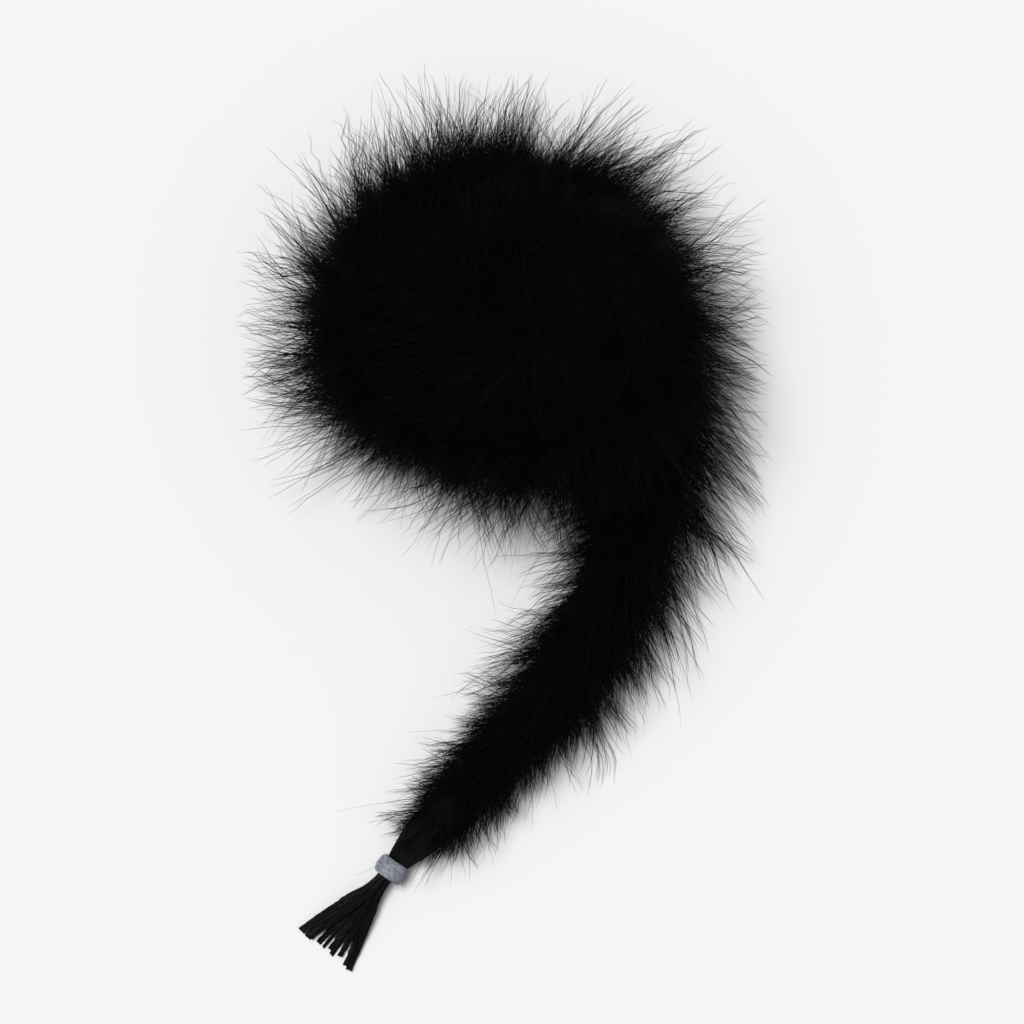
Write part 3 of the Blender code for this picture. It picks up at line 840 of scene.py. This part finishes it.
def tail_crown(number, count, points, run):
    """The down on top of the tail lies toward the tip and spreads to both sides."""
    number = amount(number)
    s = rng.uniform(0.036, BEND_UP, number)
    across_ = rng.uniform(-1.0, 1.0, number)
    reach = tail_reach(s)
    t = frames(s)[1]
    back = np.arctan2(-t[:, 1], -t[:, 0])
    heading = back + across_ * RAD(30) + rng.normal(0, RAD(13), number)
    high = 0.50 * reach * (1.0 - 0.35 * across_ ** 2)
    across_ = across_ - 0.30 * thins(s, 0.100, 0.220)
    length = run * reach * rng.uniform(0.7, 1.25, number)
    lay(tail_groups, s, 0.31 * across_ * reach, heading, high, length, count, points, loose=0.0026)


tail_locks(1350, TAIL_START, 7, 12, lambda n: np.clip(rng.normal(0.94, 0.34, n), 0.45, 1.9),
           slim=0.32, open_end=0.1, uneven=0.10)
tail_locks(1300, TAIL_START, 9, 7, lambda n: np.clip(rng.normal(0.47, 0.13, n), 0.24, 0.95),
           slim=0.57, splay=0.24)
tail_locks(1100, TAIL_START, 8, 7, lambda n: np.clip(rng.normal(0.62, 0.18, n), 0.28, 1.2),
           slim=0.53, splay=0.34, thick=FINE_HAIR)
tail_locks(330, 0.046, 1, 15, lambda n: 1.22 + rng.exponential(0.22, n),
           thick=LONG_HAIR, bend=0.44, uneven=0.05)
tail_crown(1600, 9, 9, 1.05)


def tail_pieces(name, low, high):
    return pieces([f"{name}_{g}" for g in (1, 2, 3, 4)], tail_groups, np.linspace(low, high, 5))


down_tip = tail_pieces("down_tail_tip", TAIL_START, SPLIT_TIP)
down_bend = tail_pieces("down_tail_bend", SPLIT_TIP, SPLIT_BASE)
down_root = tail_pieces("down_tail_root", SPLIT_BASE, BEND_UP + 1e-6)


# ---- the undercoat: the matted down close to the core ----
def soft_noise(shape, seed, passes):
    local = np.random.default_rng(seed)
    out = local.normal(size=shape)
    for _ in range(passes):
        near = [np.roll(out, step, way) for way in (0, 1) for step in (1, -1)]
        out = (out + near[0] + near[1] + near[2] + near[3]) / 5.0
    return out / out.std()


def undercoat(name, low, high, reach_of, seed, capped, step=0.0026, sides=44):
    """A lumpy sleeve round the core, which closes the fur where the fibres thin out."""
    count = max(4, int((high - low) / step))
    s = np.linspace(low, high, count)
    p, _, side, up = frames(s)
    ang = round_angles(sides)
    reach = reach_of(s[:, None], ang[None, :])
    reach = reach * (1.0 + 0.07 * soft_noise((count, sides), seed, 3))
    reach += 0.0009 * soft_noise((count, sides), seed + 1, 0)
    if capped:
        cap = np.clip(np.minimum(s - low, high - s) / 0.008 + 0.25, 0.0, 1.0)
        reach = reach * np.sqrt(cap)[:, None]
    rings = rings_round(p, side, up, ang, reach)
    rings[..., 2] = np.maximum(rings[..., 2], 0.0006)
    return sleeve(name, rings, UNDERCOAT)


def coil_coat(s, ang):
    ring_, z, _ = turn_facts(s[:, 0])
    outer = ramp(ring_, 0.62, 0.92)[:, None]
    out = 0.0195 - 0.0060 * outer
    inn = 0.0205 + 0.0035 * (1.0 - outer)
    a = np.where(np.cos(ang) > 0, out, inn)
    b = np.where(np.sin(ang) > 0, 0.0125 + 0.0035 * ramp(z, 0.055, 0.062)[:, None], 0.0120)
    return oval(ang, a, b)


def tail_coat(s, ang):
    thin = np.where(np.cos(ang) > 0, 0.43 * thins(s, 0.120, 0.225), 0.12 * thins(s, 0.120, 0.180))
    a = 0.47 * tail_reach(s) * (1.0 - thin)
    b = np.where(np.sin(ang) > 0, 0.46 * tail_reach(s), 0.020)
    return oval(ang, a, b)


coat_coil = undercoat("undercoat_coil", BEND_UP - 0.002, S_END - 0.001, coil_coat, 20, True)
coat_root = undercoat("undercoat_tail_root", SPLIT_BASE, BEND_UP, tail_coat, 31, False)
coat_bend = undercoat("undercoat_tail_bend", SPLIT_TIP, SPLIT_BASE, tail_coat, 33, False)
coat_tip = undercoat("undercoat_tail_tip", 0.0165, SPLIT_TIP, tail_coat, 35, False)


# ---- the gathered neck ----
def neck_reach(s, ang):
    """The neck's outline, round at the tie and a little flattened where the plumes begin."""
    wide = np.interp(s, [0.0, 0.0045, 0.0117, 0.0185, 0.0295, 0.0460],
                     [0.0046, 0.0051, 0.0070, 0.0085, 0.0094, 0.0125])
    over = np.interp(s, [0.0, 0.0040, 0.0190, 0.0460], [0.0046, 0.0048, 0.0074, 0.0110])
    return oval(ang, wide, over)


def neck_body():
    sides, count = 110, 48
    s = np.linspace(0.0030, 0.0330, count)
    p, _, side, up = frames(s)
    ang = round_angles(sides)
    ridge = soft_noise((1, sides), 7, 1) + 0.35 * soft_noise((count, sides), 8, 2)
    reach = (neck_reach(s[:, None], ang[None, :]) - 0.0004) * (1 + 0.022 * ridge)
    rings = rings_round(p, side, up, ang, reach)
    rings[..., 2] = np.maximum(rings[..., 2], 0.0005)
    return sleeve("neck_body", rings, NECK_SKIN)


def neck_strands(number, points=12):
    """Smooth fibres drawn down the neck into the tie."""
    number = amount(number)
    start = rng.uniform(0.020, 0.048, number)
    end = rng.uniform(0.0022, 0.0046, number)
    ang = rng.uniform(RAD(-30), RAD(210), number)
    u = np.linspace(0, 1, points)
    s = start[:, None] + (end - start)[:, None] * u[None]
    p, _, side, up = (v.reshape(number, points, 3) for v in frames(s.ravel()))
    a = ang[:, None] + rng.normal(size=(number, 1)) * 0.09 * np.sin(u * 3.0)[None]
    r = neck_reach(s, a) * (1.0 + rng.normal(size=(number, 1)) * 0.022)
    r = r + 0.0002 * np.sin(u[None] * 9 + rng.random((number, 1)) * 6)
    path = p + r[..., None] * (np.cos(a)[..., None] * side + np.sin(a)[..., None] * up)
    taper = 1.0 - 0.5 * u[:-1] ** 2
    radii = (0.00016 * (0.6 + 0.8 * rng.random(number)))[:, None] * taper[None]
    return above_floor(path), radii, rng.random(number)


neck_core = neck_body()
neck = fibre_object("neck_fibres", [neck_strands(1900)], NECK)

# ---- the tie: a rolled band of wound, brushed yarn ----
TIE_OUTER, TIE_INNER, TIE_HALF = 0.0077, 0.0049, 0.0046
tie_at = np.array(place(0.0)[0])
TIE_TURN = RAD(6.0)
axis = np.array([TIE_AXIS.x * math.cos(TIE_TURN) - TIE_AXIS.y * math.sin(TIE_TURN),
                 TIE_AXIS.x * math.sin(TIE_TURN) + TIE_AXIS.y * math.cos(TIE_TURN), 0.0])
cross1 = unit(np.cross(axis, [0.0, 0.0, 1.0]))
cross2 = unit(np.cross(cross1, axis))


def tie_point(a, ang, lift):
    """A point over the band: a from -1 to 1 across it, ang round it, lift above its surface."""
    swell = np.sqrt(np.maximum(1.0 - np.abs(a) ** 2.1, 0.0))
    r = TIE_INNER + 0.0010 + (TIE_OUTER - TIE_INNER - 0.0012) * swell + lift * (0.35 + 0.65 * swell)
    off = a * (TIE_HALF - 0.0002) + np.sign(a) * lift * (1.0 - swell)
    d = np.cos(ang)[..., None] * cross1 + np.sin(ang)[..., None] * cross2
    p = tie_at + off[..., None] * axis + r[..., None] * d
    p[..., 2] = np.maximum(p[..., 2], 0.0002)
    return p


def tie_body():
    around, over = 160, 26
    a = -np.cos(np.linspace(0, math.pi, over))
    ang = round_angles(around)
    wound = np.sin(ang[:, None] * 5.0 + a[None] * 9.0) + 0.6 * np.sin(ang[:, None] * 8.0 - a[None] * 6.0)
    lift = 0.00012 * wound - 0.0002 + 0.00007 * soft_noise((around, over), 61, 1)
    both = (around, over)
    outside = tie_point(np.broadcast_to(a, both), np.broadcast_to(ang[:, None], both), lift)
    bore_a = np.linspace(0.96, -0.96, 8)
    d = np.cos(ang)[:, None, None] * cross1 + np.sin(ang)[:, None, None] * cross2
    bore = tie_at + (bore_a * TIE_HALF)[None, :, None] * axis + (TIE_INNER + 0.0001) * d
    rings = np.concatenate([outside, bore], axis=1)
    across_count = rings.shape[1]
    i = np.arange(around)[:, None]
    k = np.arange(across_count)[None]
    i2, k2 = (i + 1) % around, (k + 1) % across_count
    quads = np.stack([i * across_count + k, i2 * across_count + k, i2 * across_count + k2,
                      i * across_count + k2], -1).reshape(-1, 4)
    return mesh_from("tie_band", rings.reshape(-1, 3), [quads], YARN_BODY)


def tie_fibres(number, points, long, slope, lift_low, lift_high, thick, loose):
    """Brushed fibres that lie round the band, crossing it at a shallow slope."""
    number = amount(number)
    a0 = rng.uniform(-0.98, 0.98, number)
    ang0 = rng.uniform(0, 2 * math.pi, number)
    span = rng.uniform(*long, number) / TIE_OUTER
    rise = np.tan(rng.normal(slope, 0.27, number)) * span * TIE_OUTER / TIE_HALF
    u = np.linspace(-0.5, 0.5, points)
    wob = rng.normal(size=(number, 1)) * 0.06 * np.sin(u[None] * 7 + rng.random((number, 1)) * 6)
    a = np.clip(a0[:, None] + rise[:, None] * u[None] + wob, -0.995, 0.995)
    ang = ang0[:, None] + span[:, None] * u[None]
    lift = rng.uniform(lift_low, lift_high, (number, 1))
    lift = lift + loose * np.abs(rng.normal(size=(number, 1))) * (u[None] + 0.5) ** 2
    path = tie_point(a, ang, np.broadcast_to(lift, a.shape))
    taper = 1.0 - 0.7 * np.abs(np.linspace(-0.6, 1, points)[:-1]) ** 2
    radii = hair_radii(thick, number, taper)
    patch = np.sin(a0 * 4.0 + ang0 * 3.0) * np.sin(a0 * 7.0 - ang0 * 5.0 + 1.0)
    return path, radii, np.clip(0.5 + 0.22 * patch + 0.30 * rng.normal(size=number), 0, 1)


tie_core = tie_body()
tie_fuzz = fibre_object("tie_yarn_fibres", [
    tie_fibres(2000, 8, (0.004, 0.011), 0.28, -0.00012, 0.00014, 0.00017, 0.0),
    tie_fibres(900, 6, (0.002, 0.005), 0.2, -0.00005, 0.0002, 0.00006, 0.0005),
], YARN)

# ---- the tassel's ribbons ----
FAN_LEFT = Vector((-0.1018, -0.1905, 0.0)) + CENTRE_SHIFT
FAN_RIGHT = Vector((-0.0783, -0.2072, 0.0)) + CENTRE_SHIFT
STRAND_TOP = -0.0118
STRAND_LEAVE = 0.0062
STRAIGHT_POINTS = 30
FAN = (
    # place in the fan, place in the tie (degrees, distance), height at the end, as in the CAD model;
    # then the ribbon's own drift along the fan, its width at the end and how far past the line it ends
    (4.5, 22.5, 0.0033, 0.0017, 0.0005, 0.0039, 0.0000),
    (3.5, -22.5, 0.0033, 0.0009, -0.0007, 0.0037, 0.0004),
    (2.5, 67.5, 0.0033, 0.0019, 0.0012, 0.0025, -0.0008),
    (1.5, -67.5, 0.0033, 0.0008, 0.0000, 0.0029, 0.0004),
    (0.5, 0.0, 0.0010, 0.0012, 0.0000, 0.0016, -0.0012),
    (-0.5, 180.0, 0.0010, 0.0012, 0.0000, 0.0025, 0.0000),
    (-1.5, 247.5, 0.0033, 0.0008, 0.0011, 0.0024, -0.0004),
    (-2.5, 112.5, 0.0033, 0.0019, 0.0005, 0.0025, -0.0008),
    (-3.5, 202.5, 0.0033, 0.0009, -0.0011, 0.0031, 0.0010),
    (-4.5, 157.5, 0.0033, 0.0017, 0.0000, 0.0030, 0.0012),
)


def ribbon(number, row):
    """A flat strip that runs straight through the tie, turns flat and falls to its place in the fan."""
    where, angle, distance, end_z, drift, end_width, past = row
    inner = distance < 0.002
    start_width = 0.0020 if inner else 0.0034
    lateral = distance * math.cos(RAD(angle))
    rise = distance * math.sin(RAD(angle))
    along_fan = (FAN_LEFT - FAN_RIGHT).normalized()
    tip = FAN_RIGHT.lerp(FAN_LEFT, (where + 4.5) / 9.0) + along_fan * drift
    tie = Vector(tie_at)
    tip += (tip - Vector((tie.x, tie.y, 0.0))).normalized() * (0.0012 * math.sin(where * 2.7) + past)
    tip.z = end_z
    start = tie + TIE_AXIS.cross(UP).normalized() * lateral + UP * rise
    leave = start + TIE_AXIS * STRAND_LEAVE
    reach = (tip - leave).length
    a = leave + TIE_AXIS * reach * 0.30
    back = (tip - leave).normalized()
    back.z = -0.02
    b = tip - back * reach * 0.35
    b.z = tip.z
    local = np.random.default_rng(900 + number)
    count, wide_count = 150, 17
    line, us = [], [0.0] * STRAIGHT_POINTS + list(np.linspace(0.0, 1.0, count - STRAIGHT_POINTS))
    for k in range(STRAIGHT_POINTS):
        line.append(start + TIE_AXIS * (STRAND_TOP + (STRAND_LEAVE - STRAND_TOP) * k / STRAIGHT_POINTS))
    for u in us[STRAIGHT_POINTS:]:
        w = 1 - u
        line.append(leave * w ** 3 + a * 3 * u * w ** 2 + b * 3 * u * u * w + tip * u ** 3)
    line = np.array([list(p) for p in line])
    us = np.interp(np.linspace(0.0, along(line)[-1], count), along(line), us)
    line = evenly(line, count)
    t = unit(np.gradient(line, axis=0))
    side = unit(np.cross(t, [0.0, 0.0, 1.0]))
    up = unit(np.cross(side, t))
    flat = smooth(us * 1.6)
    base = 0.0 if inner else RAD(angle) - math.pi / 2.0
    if abs(base) > math.pi / 2.0 + 0.01:
        base -= math.pi * (1 if base > 0 else -1)
    turn = base * (1.0 - flat)
    s = along(line)
    turn = turn + 0.10 * np.sin(s * 260.0 + local.random() * 6) * smooth(us * 3)
    wide = side * np.cos(turn)[:, None] + up * np.sin(turn)[:, None]
    thick = up * np.cos(turn)[:, None] - side * np.sin(turn)[:, None]
    width = start_width * (1.0 - flat) + end_width * flat
    width = width + 0.0016 * np.sin(math.pi * np.clip(us / 0.90, 0.0, 1.0)) ** 0.8
    # crinkles: ridges that run lengthwise and wander, and small creases across
    v = np.linspace(-1.0, 1.0, wide_count)
    ridge = np.zeros((count, wide_count))
    for _ in range(5):
        k = local.uniform(3.0, 10.0)
        wander = np.cumsum(local.normal(size=count)) * 0.12
        ridge += local.uniform(0.4, 1.0) * np.sin(k * v[None] + wander[:, None] + local.random() * 6)
    crease = np.sin(s[:, None] * 2 * math.pi / 0.0021 + 1.2 * v[None] * local.normal()
                    + np.cumsum(local.normal(size=count))[:, None] * 0.25)
    height = 0.000110 * ridge + 0.00003 * crease * (0.5 + 0.5 * np.sin(s * 340.0)[:, None])
    jag_l, jag_r = (np.convolve(local.normal(size=count), np.ones(4) / 4, "same")[:, None] * 0.00014
                    for _ in range(2))
    edge = width[:, None] / 2.0 + np.where(v[None] < 0, jag_l, jag_r)
    if number == 1:
        # a strip of this one is torn off short
        torn = 0.0004 * (ramp(s, 0.028, 0.036) - ramp(s, 0.0405, 0.0410))
        edge = edge + np.where(v[None] > 0, torn[:, None], 0.0)
    edge = edge * v[None]
    gauge = (0.00030 * (1 - flat) + 0.00016 * flat)[:, None] * np.sqrt(1.0 - 0.55 * v[None] ** 2)
    centre = line[:, None] + edge[..., None] * wide[:, None]
    upper = centre + (height + gauge)[..., None] * thick[:, None]
    lower = (centre + (height - gauge)[..., None] * thick[:, None])[:, ::-1]
    # the cut end is square but a little uneven
    cut = local.normal(size=wide_count) * 0.00020 + 0.0004 * local.uniform(-1.0, 1.0) * v
    upper[-1] += cut[:, None] * t[-1]
    lower[-1] += cut[::-1, None] * t[-1]
    rings = np.concatenate([upper, lower], axis=1)
    rings[..., 2] = np.maximum(rings[..., 2], 0.00015)
    obj = sleeve(f"ribbon_{number:02d}", rings, RIBBON)
    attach(obj, "tail_tip")
    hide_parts(f"tassel_strand_{number:02d}")


for i, row in enumerate(FAN):
    ribbon(i + 1, row)

# ---- which body each piece rides on; the CAD parts the pieces replace are hidden ----
for obj in down_coil + [coat_coil, cord_coil]:
    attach(obj, "coil")
for obj in down_tip + [coat_tip, neck_core, neck, cord_tip]:
    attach(obj, "tail_tip")
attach(cord_base, "tail_base")
for obj in (tie_core, tie_fuzz):
    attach(obj, "tie")
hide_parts("elastic_tie")
BEND_HALF = 0.028
bend_base = (place(S_BASE + BEND_HALF)[0], place(S_BASE - BEND_HALF)[0])
bend_tip = (place(S_TIP + BEND_HALF)[0], place(S_TIP - BEND_HALF)[0])
for obj in down_root + [coat_root]:
    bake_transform(obj)
for obj in down_bend + [coat_bend]:
    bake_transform(obj)

for g, obj in enumerate(down_coil):
    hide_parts(f"coil_plumes_{g + 2:02d}")
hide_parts("coil_plumes_01")
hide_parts("tail_plumes_01")
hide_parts("tail_plumes_02")
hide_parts("tail_plumes_03")
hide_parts("tail_plumes_04")
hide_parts("tail_plumes_05")
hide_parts("plume_collar")

for name in ("inner_end_whipping", "tail_whipping"):
    node = bpy.data.objects[name]
    node.data.materials.clear()
    node.data.materials.append(THREAD)

# ---- floor and light ----
PAPER = (0.868, 0.868, 0.869, 1.0)
SKY_STRENGTH = 0.305
KEY_ENERGY = 2.545
KEY_ANGLE = RAD(25)
KEY_DIRECTION = Vector((0.26, -0.26, -1.0))
floor_mesh = bpy.data.meshes.new("floor")
floor_mesh.from_pydata([(-9, -9, 0), (9, -9, 0), (9, 9, 0), (-9, 9, 0)], [], [(0, 1, 2, 3)])
floor = bpy.data.objects.new("floor", floor_mesh)
bpy.context.scene.collection.objects.link(floor)
floor_mat, _, floor_shader = nodes_of("floor_paper")
floor_shader.inputs["Base Color"].default_value = PAPER
floor_shader.inputs["Roughness"].default_value = 1.0
floor_shader.inputs["Specular IOR Level"].default_value = 0.0
floor_mesh.materials.append(floor_mat)

world = bpy.data.worlds.new("studio")
bpy.context.scene.world = world
world.use_nodes = True
world.node_tree.nodes["Background"].inputs["Color"].default_value = (1.0, 1.0, 1.0, 1.0)
world.node_tree.nodes["Background"].inputs["Strength"].default_value = SKY_STRENGTH

key_data = bpy.data.lights.new("key", "SUN")
key_data.energy = KEY_ENERGY
key_data.angle = KEY_ANGLE
key = bpy.data.objects.new("key", key_data)
key.rotation_euler = KEY_DIRECTION.to_track_quat("-Z", "Y").to_euler()
bpy.context.scene.collection.objects.link(key)

bpy.context.scene.view_settings.view_transform = "Standard"
bpy.context.scene.view_settings.look = "None"
